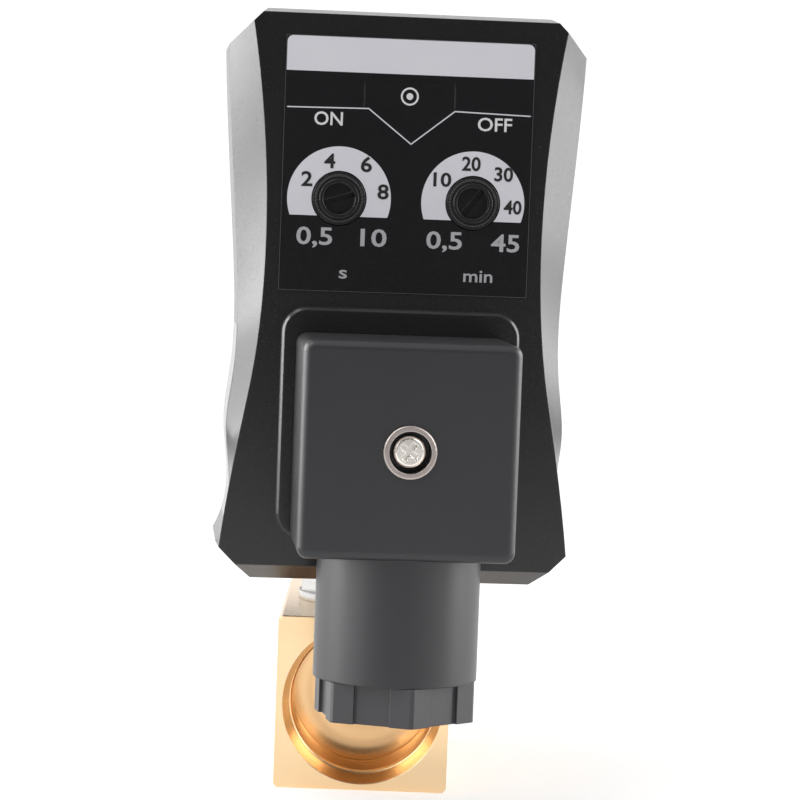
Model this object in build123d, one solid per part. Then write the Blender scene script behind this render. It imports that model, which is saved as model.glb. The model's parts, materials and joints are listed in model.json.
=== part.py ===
from build123d import *
import os
from math import sqrt

# Automatic drain valve: a brass two-way solenoid valve, a coil that turns about the
# valve's armature tube, a timer plugged onto the coil and a cable plug on the timer.
# Millimetres. +Z runs up the armature tube, -Y points out of the inlet port, and the
# origin is the centre of the valve body's flat underside.
# The coil, timer and plug together are called the head. The head is modelled square to
# the body and then turned about the armature tube by head_turn.

# ---------------------------------------------------------------- driving dimensions
head_turn = 4.75            # degrees, how far the head stands turned on its tube

# fits
running_gap = 0.08          # radial clearance of a shaft that turns or slides
loose_gap = 0.15            # clearance round a key, a knob or a loosely held piece
seat_gap = 0.05             # clearance between pieces that rest against each other

# valve body
body_width = 24.5
body_length = 44.0
body_height = 24.5
body_edge = 0.5
port_r = 10.48              # G 1/2 thread at its major diameter
port_depth = 13.2
port_flare = 0.85           # how much wider the mouth is than the thread
port_flare_depth = 3.0
chamber_r = 7.0
chamber_floor_z = 17.0
seal_recess_r = 8.6
seal_recess_depth = 1.7
seat_height = 0.9
seat_rim_r = 2.7
seat_foot_r = 3.6
orifice_r = 2.0
inlet_passage_r = 1.9
inlet_passage_z = 19.3
outlet_passage_r = 2.8

# armature tube and what moves in it
tube_r = 6.5
tube_bore_r = 5.5
collar_r = 10.2
collar_height = 1.2
hex_flats = 17.4
hex_height = 4.1
spigot_length = 2.9
plunger_stroke = 2.0
plunger_length = 37.4
plunger_groove_r = 0.8
plunger_edge = 0.4
seal_disc_r = 3.0
seal_disc_depth = 1.8
seal_disc_proud = 0.7
spring_pocket_r = 2.7
spring_pocket_depth = 14.0
spring_coil_r = 2.1
spring_wire_r = 0.3
spring_turns = 6
shading_inner_r = 3.4
shading_outer_r = 4.2
shading_depth = 1.5
stud_r = 4.0
stud_length = 9.5
stud_edge = 0.5
coil_washer_r = 8.8
coil_washer_thick = 0.8
coil_nut_flats = 13.0
coil_nut_height = 6.5
coil_nut_skirt_r = 8.0
coil_nut_skirt = 1.2
coil_nut_cone_r = 10.0      # foot of the cone that trims the nut's upper corners

# coil
coil_half_width = 15.0
coil_back_y = 22.0
coil_front_y = -15.0
coil_boss_y = -19.5         # face that the timer plugs against
coil_height = 41.0
coil_lift = 0.8             # underside of the coil above the hexagon
coil_round = 4.0
coil_top_edge = 0.8
coil_seal_depth = 1.2
coil_seal_r = 9.0
yoke_thick = 2.5
yoke_half_width = 11.0
yoke_back_wall = 2.0        # plastic behind the yoke
bobbin_wall = 1.1
bobbin_flange_r = 13.3
bobbin_flange = 1.2
winding_r = 12.6

# contacts, blade size and layout shared by coil, timer and plug
blade_pitch = 9.0           # from the centre screw to each blade
blade_width = 6.3
blade_thick = 0.8
side_blade_turn = 90.0      # degrees, the two side blades stand upright
blade_reach = 9.5           # how far a blade stands out
blade_root = 4.0            # how far a blade is moulded in
socket_wall = 0.9
screw_r = 1.5
screw_clear = 0.3

# timer housing
timer_front_y = -42.5
timer_back_y = -20.0
timer_top_z = 108.5
timer_bottom_z = 32.0
timer_wall = 2.0
cover_thick = 2.0
cover_lip = 1.2
bevel_depth = 4.0
top_bevel = 0.7
bottom_bevel = 2.2
plug_centre_z = 51.6
# outline of one side, from the foot up: half width and height
foot = (23.75, timer_bottom_z + 4.8)
hollow = (22.2, plug_centre_z - 5.0)
grip = (22.75, plug_centre_z + 0.6)
neck = (22.05, plug_centre_z + 7.9)
waist = (22.1, plug_centre_z + 23.4)
shoulder = (24.05, timer_top_z - 5.0)
# how much narrower the front face is than that outline, at the same stations
front_inset = (0.35, 0.2, 1.7, 2.3, 3.65, 3.1)
pad_half_width = 15.9
pad_top_z = plug_centre_z + 17.3
pad_bottom_z = plug_centre_z - 13.7
pad_height = 0.7
pad_round = 3.4
sleeve_r = 3.4
cover_boss_r = 2.6
cover_boss_low = (17.6, timer_bottom_z + 5.4)
cover_boss_high = (18.6, timer_top_z - 7.0)
cover_screw_r = 1.1
cover_screw_head_r = 2.1
cover_screw_head = 1.2
cover_screw_length = 10.0
label_half_width = 16.6
label_top_z = timer_top_z - 3.6
label_bottom_z = pad_top_z + 2.2
label_thick = 0.2
label_round = 0.8

# controls
dial_half_spacing = 8.94
dial_z = timer_top_z - 25.05
well_r = 3.65
knob_r = 3.5
knob_proud = 0.5
knob_rim_r = 2.6
knob_rim = 0.4
knob_recess_r = 2.15
knob_recess = 1.6
knob_slot = 0.7
knob_slot_depth = 0.45
knob_slot_length = 4.8
on_slot_angle = 17.0
off_slot_angle = 52.0
key_half_width = 6.0
key_half_height = 2.1
key_z = timer_top_z - 11.2
key_round = 0.8
key_flange = 0.8
key_flange_margin = 0.6
key_stem_r = 1.5
key_travel = 0.4

# electronics
board_half_width = 15.4
board_bottom_z = plug_centre_z + 16.0
board_top_z = timer_top_z - 5.9
board_front_y = -32.0
board_thick = 1.6
board_hole_x = 13.0
board_hole_low_z = board_bottom_z + 2.6
board_hole_high_z = board_top_z - 2.6
post_r = 2.0
post_screw_r = 0.9
post_hole_depth = 4.0
board_screw_head_r = 1.7
board_screw_head = 1.0
board_screw_length = 4.5
trimmer_size = 9.4
trimmer_thick = 4.6
rotor_r = 1.5
rotor_depth = 2.3
rotor_hole_depth = 2.5
trimmer_edge = 0.5
switch_size = 6.0
switch_thick = 3.4
switch_button_r = 1.7
switch_button = 1.0
capacitor_r = 4.0
capacitor_length = 11.0
capacitor_edge = 0.5
capacitor_place = (-7.5, board_top_z - 8.6)
relay_size = (15.0, 6.5, 12.0)
relay_corner = (-1.0, board_bottom_z + 8.4)
relay_edge = 0.8
chip_size = (9.0, 1.6, 6.0)
chip_low_z = board_bottom_z + 3.0
chip_lift = 0.3
chip_leg_pairs = 7
leg_half_width = 0.2
leg_reach = 0.8
leg_root = 1.0

# cable plug
plug_half = 14.0
plug_front_y = -63.7
plug_back_y = -44.0
plug_wall = 1.8
plug_round = 1.1
gasket_half = 13.2
gland_y = -52.3
gland_r = 10.75
gland_bottom_z = 21.2
gland_bore_r = 9.05
gland_shoulder_z = 34.0
gland_neck_r = 7.0
plug_boss_r = 4.2
carrier_half = 12.0
carrier_front_y = -54.0
carrier_round = 0.8
clamp_length = 13.5
clamp_screw_head_r = 1.6
clamp_screw_head = 1.2
clamp_screw_slot = (0.5, 0.4)
ring_r = 3.47
ring_bore_r = 2.71
ring_proud = 0.5
ring_sleeve_r = 3.1
ring_depth = 1.0            # how far the ring's sleeve goes into the plug
screw_seat_depth = 2.7      # from the plug's front to the seat of the screw head
screw_head_r = 2.15
screw_head_height = 2.0
screw_head_round = 0.5
cross_size = (2.6, 0.7)      # length and width of the cross recess
cross_depth = 0.9
cross_turn = 35.0
nut_corner_r = 11.0
nut_turn = 38.0             # degrees, how the gland nut happens to stand
nut_bottom_z = 16.0
nut_spigot_length = 6.0
nut_bore_r = 5.2
nut_panel = 0.45            # depth of the shallow panel in each flat
nut_panel_share = 0.44      # share of each flat that the panel takes
nut_corner_trim = 0.15
cable_r = 4.0
gland_washer_thick = 0.8

# ---------------------------------------------------------------- derived positions
port_axis_z = body_height / 2
port_floor_y = body_length / 2 - port_depth
collar_top_z = body_height + collar_height
hex_top_z = collar_top_z + hex_height
coil_bottom_z = hex_top_z + coil_lift
coil_top_z = coil_bottom_z + coil_height
tube_top_z = coil_top_z + seat_gap
yoke_bottom_z = coil_bottom_z + coil_seal_depth
yoke_top_z = coil_top_z - coil_seal_depth
coil_bore_r = tube_r + running_gap
seat_z = chamber_floor_z + seat_height
plunger_bottom_z = seat_z + seal_disc_proud
plunger_top_z = plunger_bottom_z + plunger_length
core_bottom_z = plunger_top_z + plunger_stroke + seat_gap
cover_y = timer_back_y - cover_thick
shell_inner_y = timer_front_y + timer_wall
pad_y = timer_front_y - pad_height
board_back_y = board_front_y + board_thick
blade_places = ((blade_pitch, 0, side_blade_turn), (-blade_pitch, 0, side_blade_turn),
                (0, -blade_pitch, 0))
cover_bosses = [(s * x, z) for x, z in (cover_boss_low, cover_boss_high) for s in (1, -1)]
board_posts = [(s * board_hole_x, z) for z in (board_hole_low_z, board_hole_high_z)
               for s in (1, -1)]


# ---------------------------------------------------------------- small helpers
def block(x, y, z):
    """Box between the low and high ends of each pair."""
    size = [abs(pair[1] - pair[0]) for pair in (x, y, z)]
    middle = [sum(pair) / 2 for pair in (x, y, z)]
    return Pos(*middle) * Box(*size)


def rod_z(radius, low, high, x=0, y=0):
    """Upright cylinder from height low to height high."""
    return Pos(x, y, (low + high) / 2) * Cylinder(radius, abs(high - low))


def rod_y(radius, front, back, x=0, z=0):
    """Cylinder lying along Y from front to back."""
    return Pos(x, (front + back) / 2, z) * Rot(90, 0, 0) * Cylinder(radius, abs(back - front))


def hexagon_z(flats, low, high, turn=0):
    """Upright hexagonal prism, given across its flats."""
    outline = Rot(0, 0, turn) * RegularPolygon(flats / sqrt(3), 6)
    return Pos(0, 0, low) * extrude(outline, high - low)


def rounded_plate(half_x, low_z, high_z, front, back, radius, x=0):
    """Plate across Y with rounded corners."""
    height = high_z - low_z
    outline = RectangleRounded(2 * half_x, height, radius)
    plate = extrude(Plane.XZ * outline, -(back - front))
    return Pos(x, front, (low_z + high_z) / 2) * plate


def blade(front, back, place, grow=0.0):
    """Flat contact blade along Y at one of the plug's places, grown to make a slot."""
    x, z, turn = place
    flat = Box(blade_width + 2 * grow, back - front, blade_thick + 2 * grow)
    return Pos(x, (front + back) / 2, plug_centre_z + z) * Rot(0, turn, 0) * flat


def save(shape, node, in_head=True):
    """Write one node, turned with the head unless it belongs to the valve."""
    placed = Rot(0, 0, head_turn) * shape if in_head else shape
    export_step(placed, f"parts/{node}.step")


# ---------------------------------------------------------------- valve
def make_valve_body():
    """Brass block with a blind port at each end, a seat and an armature chamber."""
    solid = block((-body_width / 2, body_width / 2), (-body_length / 2, body_length / 2),
                  (0, body_height))
    solid = chamfer(solid.edges().filter_by(Axis.Y), body_edge)
    for end in (-1, 1):
        mouth = end * body_length / 2
        solid -= rod_y(port_r, mouth, end * port_floor_y, 0, port_axis_z)
        funnel = Cone(port_r + port_flare, port_r, port_flare_depth)
        lean = Rot(90, 0, 0) if end > 0 else Rot(-90, 0, 0)
        solid -= Pos(0, mouth - end * port_flare_depth / 2, port_axis_z) * lean * funnel
    chamber = rod_z(chamber_r, chamber_floor_z, body_height)
    seat = Cone(seat_foot_r, seat_rim_r, seat_height)
    solid -= chamber - Pos(0, 0, chamber_floor_z + seat_height / 2) * seat
    solid -= rod_z(seal_recess_r, body_height - seal_recess_depth, body_height)
    solid -= rod_z(orifice_r, port_axis_z, seat_z)
    solid -= rod_y(outlet_passage_r, 0, port_floor_y, 0, port_axis_z)
    solid -= rod_y(inlet_passage_r, -port_floor_y, -chamber_r + body_edge, 0, inlet_passage_z)
    return solid


def make_armature_tube():
    """Stainless tube with a threaded spigot, a round collar and a hexagon at its foot."""
    tube = rod_z(chamber_r - seat_gap, body_height - spigot_length, body_height)
    tube += rod_z(collar_r, body_height, collar_top_z)
    tube += hexagon_z(hex_flats, collar_top_z, hex_top_z, 15)
    tube += rod_z(tube_r, hex_top_z, tube_top_z)
    tube -= rod_z(tube_bore_r, body_height - spigot_length, tube_top_z)
    return tube


def make_tube_o_ring():
    """Seal that fills the recess round the spigot."""
    inner = chamber_r - seat_gap
    cord_r = min(seal_recess_r - inner, seal_recess_depth) / 2 - seat_gap / 2
    height = body_height - cord_r
    return Pos(0, 0, height) * Torus((seal_recess_r + inner) / 2, cord_r)


def make_fixed_core():
    """Core welded into the tube's top, with the stud that the coil nut screws on."""
    core = rod_z(tube_bore_r, core_bottom_z, tube_top_z)
    core += rod_z(stud_r, tube_top_z, tube_top_z + stud_length)
    core = chamfer(core.edges().group_by(Axis.Z)[-1], stud_edge)
    groove = rod_z(shading_outer_r, core_bottom_z, core_bottom_z + shading_depth)
    groove -= rod_z(shading_inner_r, core_bottom_z, core_bottom_z + shading_depth)
    return core - groove


def make_shading_ring():
    """Copper ring pressed into the groove of the core's face."""
    ring = rod_z(shading_outer_r, core_bottom_z, core_bottom_z + shading_depth)
    return ring - rod_z(shading_inner_r, core_bottom_z, core_bottom_z + shading_depth)


def make_plunger():
    """Sliding armature with flow grooves, a seal pocket below and a spring pocket above."""
    slug = rod_z(tube_bore_r - running_gap, plunger_bottom_z, plunger_top_z)
    slug = chamfer(slug.edges().filter_by(GeomType.CIRCLE), plunger_edge)
    seal_top = plunger_bottom_z + seal_disc_depth
    slug -= rod_z(seal_disc_r, plunger_bottom_z, seal_top)
    slug -= rod_z(spring_pocket_r, plunger_top_z - spring_pocket_depth, plunger_top_z)
    for side in (-1, 1):
        slug -= rod_z(plunger_groove_r, seal_top + plunger_edge, plunger_top_z, side * tube_bore_r)
    return slug


def make_plunger_seal():
    """Rubber disc that closes the orifice."""
    top = plunger_bottom_z + seal_disc_depth
    return rod_z(seal_disc_r, seat_z, top)


def make_plunger_spring():
    """Return spring between the plunger's pocket and the fixed core."""
    low = plunger_top_z - spring_pocket_depth + spring_wire_r
    high = core_bottom_z - spring_wire_r
    path = Helix((high - low) / spring_turns, high - low, spring_coil_r)
    section = Plane(path @ 0, z_dir=path % 0) * Circle(spring_wire_r)
    return Pos(0, 0, low) * sweep(section, path, is_frenet=True)


def make_coil_seal(low, high):
    """Rubber ring round the tube that fills the height between two faces."""
    cord_r = (high - low - seat_gap) / 2
    return Pos(0, 0, (low + high) / 2) * Torus(tube_r + cord_r + seat_gap / 2, cord_r)


def make_coil_washer():
    """Spring washer under the coil nut."""
    low = tube_top_z
    washer = rod_z(coil_washer_r, low, low + coil_washer_thick)
    return washer - rod_z(stud_r + seat_gap, low, low + coil_washer_thick)


def make_coil_nut():
    """Hexagon nut with a round skirt that holds the coil on the tube."""
    low = tube_top_z + coil_washer_thick
    high = low + coil_nut_height
    nut = rod_z(coil_nut_skirt_r, low, low + coil_nut_skirt)
    nut += hexagon_z(coil_nut_flats, low + coil_nut_skirt, high)
    trim = Cone(coil_nut_cone_r, coil_nut_flats / 2, high - low)
    nut &= Pos(0, 0, (low + high) / 2) * trim
    return nut - rod_z(stud_r, low, high)


# ---------------------------------------------------------------- coil
def yoke_shape():
    """U-shaped steel strap: bottom plate, back plate and top plate."""
    back = coil_back_y - yoke_back_wall
    wide = (-yoke_half_width, yoke_half_width)
    strap = block(wide, (-yoke_half_width, back), (yoke_bottom_z, yoke_bottom_z + yoke_thick))
    strap += block(wide, (-yoke_half_width, back), (yoke_top_z - yoke_thick, yoke_top_z))
    strap += block(wide, (back - yoke_thick, back), (yoke_bottom_z, yoke_top_z))
    return strap


def make_coil_yoke():
    """The strap with a hole in each plate for the tube."""
    return yoke_shape() - rod_z(coil_bore_r, yoke_bottom_z, yoke_top_z)


def bobbin_span():
    """Heights between the yoke's plates that the bobbin fills."""
    return yoke_bottom_z + yoke_thick, yoke_top_z - yoke_thick


def make_coil_bobbin():
    """Spool with two flanges on which the wire is wound."""
    low, high = bobbin_span()
    spool = rod_z(coil_bore_r + bobbin_wall, low, high)
    spool += rod_z(bobbin_flange_r, low, low + bobbin_flange)
    spool += rod_z(bobbin_flange_r, high - bobbin_flange, high)
    return spool - rod_z(coil_bore_r, low, high)


def make_coil_winding():
    """Copper winding between the flanges."""
    low, high = bobbin_span()
    low += bobbin_flange
    high -= bobbin_flange
    return rod_z(winding_r, low, high) - rod_z(coil_bore_r + bobbin_wall, low, high)


def make_coil_body():
    """Moulded casing round bobbin and yoke, with the plug face on its front."""
    solid = block((-coil_half_width, coil_half_width), (coil_front_y, coil_back_y),
                  (coil_bottom_z, coil_top_z))
    upright = solid.edges().filter_by(Axis.Z)
    solid = fillet(upright.group_by(Axis.Y)[-1], coil_round)
    solid = chamfer(solid.edges().group_by(Axis.Z)[-1], coil_top_edge)
    solid += rounded_plate(plug_half, plug_centre_z - plug_half, plug_centre_z + plug_half,
                           coil_boss_y, coil_front_y, plug_round)
    low, high = bobbin_span()
    solid -= rod_z(bobbin_flange_r, low, high)
    solid -= yoke_shape()
    solid -= rod_z(coil_bore_r, coil_bottom_z, coil_top_z)
    solid -= rod_z(coil_seal_r, coil_bottom_z, yoke_bottom_z)
    solid -= rod_z(coil_seal_r, yoke_top_z, coil_top_z)
    for place in blade_places:
        solid -= blade(coil_boss_y, coil_boss_y + blade_root, place)
    solid -= rod_y(screw_r, coil_boss_y, coil_front_y + 1, 0, plug_centre_z)
    return solid


def make_coil_terminals():
    """Two supply blades and the earth blade, moulded into the plug face."""
    return Compound([blade(coil_boss_y - blade_reach, coil_boss_y + blade_root, place)
                     for place in blade_places])


def make_coil_gasket():
    """Flat gasket between coil and timer, pierced for blades and screw."""
    front = timer_back_y
    sheet = rounded_plate(gasket_half, plug_centre_z - gasket_half, plug_centre_z + gasket_half,
                          front, coil_boss_y, plug_round)
    for place in blade_places:
        sheet -= blade(front, coil_boss_y, place, loose_gap)
    return sheet - rod_y(screw_r + screw_clear, front, coil_boss_y, 0, plug_centre_z)


# ---------------------------------------------------------------- timer
def housing_face(y, stations, top_z, bottom_z, inset):
    """Outline across the housing at depth y, moved inwards by inset.

    Each side is a spline through its stations, and 45 degree cuts join it to the
    straight top and bottom edges.
    """
    slip = inset * (sqrt(2) - 1)
    points = [(x - inset, z) for x, z in stations]
    foot_x, foot_z = points[0][0], points[0][1] + slip
    head_x, head_z = points[-1][0], points[-1][1] - slip
    points = [(foot_x, foot_z)] + points[1:-1] + [(head_x, head_z)]
    top = top_z - inset
    bottom = bottom_z + inset
    top_half = head_x + head_z - top
    bottom_half = foot_x - foot_z + bottom
    right = [(x, y, z) for x, z in points]
    left = [(-x, y, z) for x, z in reversed(points)]
    edges = [
        Line((-bottom_half, y, bottom), (bottom_half, y, bottom)),
        Line((bottom_half, y, bottom), right[0]),
        Spline(*right),
        Line(right[-1], (top_half, y, top)),
        Line((top_half, y, top), (-top_half, y, top)),
        Line((-top_half, y, top), left[0]),
        Spline(*left),
        Line(left[-1], (-bottom_half, y, bottom)),
    ]
    return make_face(edges)


def housing_form(front_y, back_y, inset=0.0):
    """Waisted block with bevelled front edges, the housing's outside or its cavity."""
    outer = (foot, hollow, grip, neck, waist, shoulder)
    narrow = [(x - step, z) for (x, z), step in zip(outer, front_inset)]
    narrow[0] = (narrow[0][0], foot[1] - front_inset[0])
    narrow[-1] = (narrow[-1][0], shoulder[1] + front_inset[-1])
    front = housing_face(front_y, narrow, timer_top_z - top_bevel,
                         timer_bottom_z + bottom_bevel, inset)
    middle_y = front_y + bevel_depth
    middle = housing_face(middle_y, outer, timer_top_z, timer_bottom_z, inset)
    body = extrude(middle, amount=back_y - middle_y, dir=(0, 1, 0))
    return loft([front, middle], ruled=True) + body


def key_block(front, back, grow=0.0):
    """Rounded block of the test key's outline."""
    half_z = key_half_height + grow
    return rounded_plate(key_half_width + grow, key_z - half_z, key_z + half_z,
                         front, back, key_round)


def knob_places():
    """Centres of the two time knobs across the panel."""
    return (-dial_half_spacing, dial_z), (dial_half_spacing, dial_z)


def make_timer_housing():
    """Moulded front shell with the plug's pad, wells, bosses and posts."""
    shell = housing_form(timer_front_y, cover_y)
    shell -= housing_form(shell_inner_y, cover_y, timer_wall)
    pad = rounded_plate(pad_half_width, pad_bottom_z, pad_top_z, pad_y, timer_front_y, pad_round)
    pad = chamfer(pad.edges().group_by(Axis.Y)[0], pad_height / 2)
    shell += pad
    shell += rod_y(sleeve_r, shell_inner_y, cover_y, 0, plug_centre_z)
    for x, z in cover_bosses:
        shell += rod_y(cover_boss_r, shell_inner_y, cover_y, x, z)
        shell -= rod_y(cover_screw_r, cover_y - cover_screw_length, cover_y, x, z)
    for x, z in board_posts:
        shell += rod_y(post_r, shell_inner_y, board_front_y, x, z)
        shell -= rod_y(post_screw_r, board_front_y - post_hole_depth, board_front_y, x, z)
    shell -= rod_y(screw_r + screw_clear, pad_y, cover_y, 0, plug_centre_z)
    for x, z in knob_places():
        shell -= rod_y(well_r, timer_front_y, shell_inner_y, x, z)
    shell -= key_block(timer_front_y, shell_inner_y, running_gap)
    for place in blade_places:
        shell -= blade(pad_y, shell_inner_y, place)
    return shell


def make_front_terminals():
    """Blades that stand out of the pad into the cable plug."""
    return Compound([blade(pad_y - blade_reach, shell_inner_y + blade_root, place)
                     for place in blade_places])


def socket_shape(front, back, place, grow=0.0):
    """Sleeve-like outline of one rear socket."""
    x, z, turn = place
    wide = blade_width + 2 * (socket_wall + grow)
    thick = blade_thick + 2 * (socket_wall + grow)
    return Pos(x, (front + back) / 2, plug_centre_z + z) * Rot(0, turn, 0) * Box(
        wide, back - front, thick)


def make_timer_sockets():
    """Sprung sockets in the rear cover that take the coil's blades."""
    front = coil_boss_y - blade_reach - loose_gap
    back = cover_y
    sockets = []
    for place in blade_places:
        socket = socket_shape(front - socket_wall, back, place)
        sockets.append(socket - blade(front, back, place, loose_gap))
    return Compound(sockets)


def make_rear_cover():
    """Plate that closes the housing, with a locating lip and slots for the blades."""
    outer = (foot, hollow, grip, neck, waist, shoulder)
    face = housing_face(cover_y, outer, timer_top_z, timer_bottom_z, 0)
    cover = extrude(face, amount=cover_thick, dir=(0, 1, 0))
    lip_inset = timer_wall + loose_gap
    lip_y = cover_y - cover_thick / 2
    lip_face = housing_face(lip_y, outer, timer_top_z, timer_bottom_z, lip_inset)
    hole_face = housing_face(lip_y, outer, timer_top_z, timer_bottom_z, lip_inset + cover_lip)
    lip = extrude(lip_face, amount=cover_thick / 2, dir=(0, 1, 0))
    lip -= extrude(hole_face, amount=cover_thick / 2, dir=(0, 1, 0))
    for x, z in cover_bosses:
        lip -= rod_y(cover_boss_r + loose_gap, lip_y, cover_y, x, z)
    cover += lip
    for place in blade_places:
        cover -= blade(cover_y, timer_back_y, place, loose_gap)
    for x, z in cover_bosses:
        cover -= rod_y(cover_screw_r + loose_gap, cover_y, timer_back_y, x, z)
        cover -= rod_y(cover_screw_head_r + loose_gap, timer_back_y - cover_screw_head,
                       timer_back_y, x, z)
    return cover - rod_y(screw_r + screw_clear, cover_y, timer_back_y, 0, plug_centre_z)


def cross_screw(head_r, head, shank_r, length, head_back, x, z):
    """Cross-recessed pan screw whose head faces back along +Y."""
    seat = head_back - head
    screw = rod_y(head_r, seat, head_back, x, z) + rod_y(shank_r, seat - length, seat, x, z)
    for turn in (0, 90):
        slot = Box(head_r * 1.2, head, head_r * 0.3)
        screw -= Pos(x, head_back, z) * Rot(0, turn, 0) * slot
    return screw


def make_cover_screws():
    """Four screws that hold the rear cover."""
    return Compound([cross_screw(cover_screw_head_r, cover_screw_head, cover_screw_r,
                                 cover_screw_length - cover_screw_head,
                                 timer_back_y, x, z) for x, z in cover_bosses])


def make_label_film():
    """Thin front film with holes for the knobs and the test key."""
    front = timer_front_y - label_thick
    film = rounded_plate(label_half_width, label_bottom_z, label_top_z, front, timer_front_y,
                         label_round)
    for x, z in knob_places():
        film -= rod_y(well_r, front, timer_front_y, x, z)
    return film - key_block(front, timer_front_y, running_gap)


def make_test_key():
    """Push key, held by a flange behind the panel, with a stem to its switch."""
    front = timer_front_y - label_thick
    flange_front = shell_inner_y + seat_gap
    flange_back = flange_front + key_flange
    stem_end = board_front_y - switch_thick - switch_button - key_travel
    key = key_block(front, flange_front)
    key += key_block(flange_front, flange_back, key_flange_margin)
    return key + rod_y(key_stem_r, flange_back, stem_end, 0, key_z)


def make_key_switch():
    """Small push switch on the board behind the test key."""
    half = switch_size / 2
    front = board_front_y - switch_thick
    switch = block((-half, half), (front, board_front_y), (key_z - half, key_z + half))
    return switch + rod_y(switch_button_r, front - switch_button + seat_gap, front, 0, key_z)


def make_circuit_board():
    """Board that carries the timer's parts, screwed to four posts."""
    board = block((-board_half_width, board_half_width), (board_front_y, board_back_y),
                  (board_bottom_z, board_top_z))
    for x, z in board_posts:
        board -= rod_y(post_screw_r + loose_gap, board_front_y, board_back_y, x, z)
    return board


def make_board_screws():
    """Four screws from behind through the board into its posts."""
    head_back = board_back_y + board_screw_head
    return Compound([cross_screw(board_screw_head_r, board_screw_head, post_screw_r,
                                 board_screw_length, head_back, x, z) for x, z in board_posts])


def make_trimmer(x):
    """Adjusting potentiometer on the board, with the hole its rotor turns in."""
    half = trimmer_size / 2
    front = board_front_y - trimmer_thick
    body = block((x - half, x + half), (front, board_front_y), (dial_z - half, dial_z + half))
    body = chamfer(body.edges().group_by(Axis.Y)[0], trimmer_edge)
    return body - rod_y(rotor_r + running_gap, front, front + rotor_hole_depth, x, dial_z)


def make_knob(x, slot_angle):
    """Screwdriver knob: collar in the well, sunk centre with a slot, rotor behind."""
    front = timer_front_y - label_thick - knob_proud
    back = shell_inner_y
    knob = rod_y(knob_r, front + knob_rim, back, x, dial_z)
    knob += rod_y(knob_rim_r, front, front + knob_rim, x, dial_z)
    floor = front + knob_recess
    knob -= rod_y(knob_recess_r, front, floor, x, dial_z)
    slot = Box(knob_slot_length, 2 * knob_slot_depth, knob_slot)
    knob -= Pos(x, floor, dial_z) * Rot(0, -slot_angle, 0) * slot
    trimmer_front = board_front_y - trimmer_thick
    knob += rod_y(knob_rim_r, back, trimmer_front - seat_gap, x, dial_z)
    return knob + rod_y(rotor_r, trimmer_front - seat_gap, trimmer_front + rotor_depth, x, dial_z)


def make_timer_capacitor():
    """Electrolytic capacitor standing behind the board."""
    end = min(board_back_y + capacitor_length, cover_y - loose_gap)
    can = rod_y(capacitor_r, board_back_y, end, *capacitor_place)
    return fillet(can.edges().group_by(Axis.Y)[-1], capacitor_edge)


def make_timer_relay():
    """Small switching relay behind the board."""
    wide, deep, tall = relay_size
    x, z = relay_corner
    case = block((x, x + wide), (board_back_y, board_back_y + deep), (z, z + tall))
    return fillet(case.edges().filter_by(Axis.Y), relay_edge)


def make_timer_chip():
    """Timing circuit with its two rows of legs, in front of the board."""
    wide, deep, tall = chip_size
    back = board_front_y - chip_lift
    case = block((-wide / 2, wide / 2), (back - deep, back), (chip_low_z, chip_low_z + tall))
    for i in range(chip_leg_pairs):
        x = -wide / 2 + wide * (i + 0.5) / chip_leg_pairs
        case += block((x - leg_half_width, x + leg_half_width),
                      (board_front_y - leg_root, board_front_y),
                      (chip_low_z - leg_reach, chip_low_z + tall + leg_reach))
    return case


# ---------------------------------------------------------------- cable plug
def plug_cavity_z():
    """Heights of the plug's hollow."""
    half = plug_half - plug_wall
    return plug_centre_z - half, plug_centre_z + half


def make_plug_housing():
    """Square hood open at the back, with the cable gland's tube below."""
    low = plug_centre_z - plug_half
    high = plug_centre_z + plug_half
    hood = block((-plug_half, plug_half), (plug_front_y, plug_back_y), (low, high))
    hood = fillet(hood.edges().filter_by(Axis.Y), plug_round * 1.3)
    hood = fillet(hood.edges().group_by(Axis.Y)[0], plug_round)
    tube = rod_z(gland_r, gland_bottom_z, low + plug_wall, 0, gland_y)
    behind = block((-plug_half, plug_half), (plug_back_y, plug_back_y + gland_r),
                   (low, low + plug_wall))
    flat_y = timer_front_y - loose_gap
    clear = block((-gland_r, gland_r), (flat_y, gland_y + gland_r), (gland_bottom_z, low))
    hood += tube - behind - clear
    cavity_low, cavity_high = plug_cavity_z()
    half = plug_half - plug_wall
    hood -= block((-half, half), (plug_front_y + plug_wall, plug_back_y),
                  (cavity_low, cavity_high))
    hood -= rod_z(gland_bore_r, gland_bottom_z, gland_shoulder_z, 0, gland_y)
    hood -= rod_z(gland_neck_r, gland_shoulder_z, cavity_low, 0, gland_y)
    hood += rod_y(plug_boss_r, plug_front_y + plug_wall, plug_back_y, 0, plug_centre_z)
    hood -= rod_y(screw_r + screw_clear, plug_front_y, plug_back_y, 0, plug_centre_z)
    hood -= rod_y(ring_bore_r, plug_front_y, plug_front_y + screw_seat_depth, 0, plug_centre_z)
    return hood - rod_y(ring_sleeve_r, plug_front_y, plug_front_y + ring_depth, 0, plug_centre_z)


def clamp_shape(place, grow=0.0):
    """Outline of one contact clamp at its place."""
    x, z, turn = place
    front = plug_back_y + seat_gap - clamp_length
    wide = blade_width + 2 * (socket_wall + grow)
    thick = blade_thick + 2 * (socket_wall + grow)
    return Pos(x, front + clamp_length / 2, plug_centre_z + z) * Rot(0, turn, 0) * Box(
        wide, clamp_length, thick)


def make_contact_carrier():
    """Insulating block that holds the contact clamps at the back of the plug."""
    half = carrier_half
    back = plug_back_y + seat_gap
    carrier = block((-half, half), (carrier_front_y, back),
                    (plug_centre_z - half, plug_centre_z + half))
    carrier = fillet(carrier.edges().filter_by(Axis.Y), carrier_round)
    carrier -= rod_y(plug_boss_r + loose_gap, carrier_front_y, back, 0, plug_centre_z)
    for place in blade_places:
        carrier -= clamp_shape(place)
    return carrier


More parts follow.
